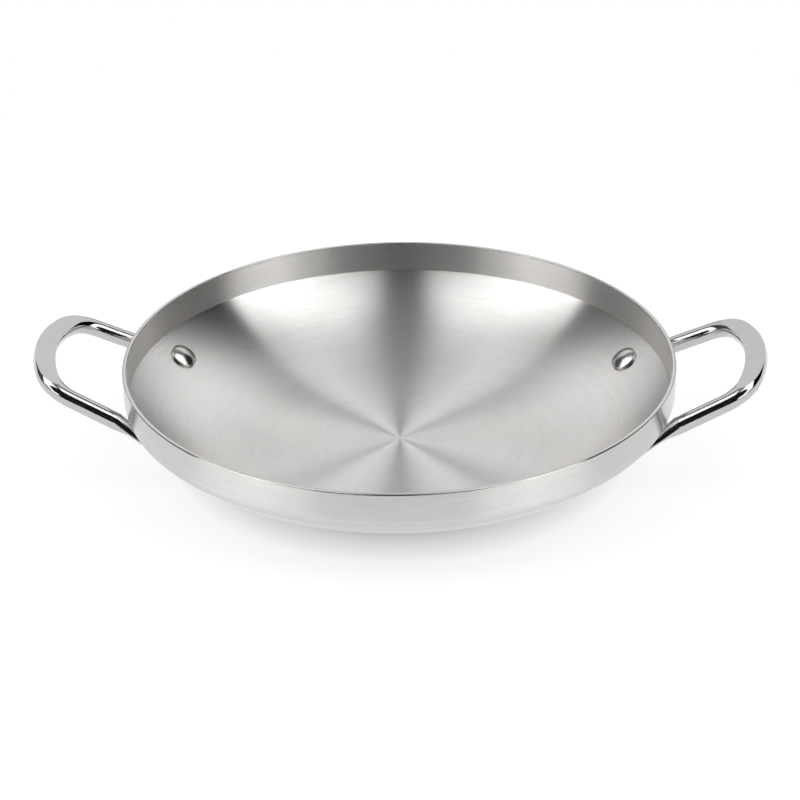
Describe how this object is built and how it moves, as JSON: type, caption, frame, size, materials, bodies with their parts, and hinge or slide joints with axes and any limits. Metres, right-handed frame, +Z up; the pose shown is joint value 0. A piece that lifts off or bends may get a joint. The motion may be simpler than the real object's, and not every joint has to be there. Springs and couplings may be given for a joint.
{
  "type": "jeongol pan",
  "caption": "Wide shallow two-handled pan with an upright rim band, a dished bottom and raised loop handles, for stews cooked and shared at the table.",
  "frame": {"origin": "middle of the flat base that the pan rests on", "axes": "+Z up through the open mouth, +X towards the right-hand handle, +Y towards the rear"},
  "size_m": [0.3974, 0.3, 0.0619],
  "materials": {
    "pan_sheet": "brushed",
    "handle_rod": "polished",
    "rivets": "polished"
  },
  "bodies": {
    "root": {"pan_body": "pan_sheet", "left_handle": "handle_rod", "right_handle": "handle_rod", "left_rear_rivet": "rivets", "left_front_rivet": "rivets", "right_rear_rivet": "rivets", "right_front_rivet": "rivets"}
  },
  "joints": []
}
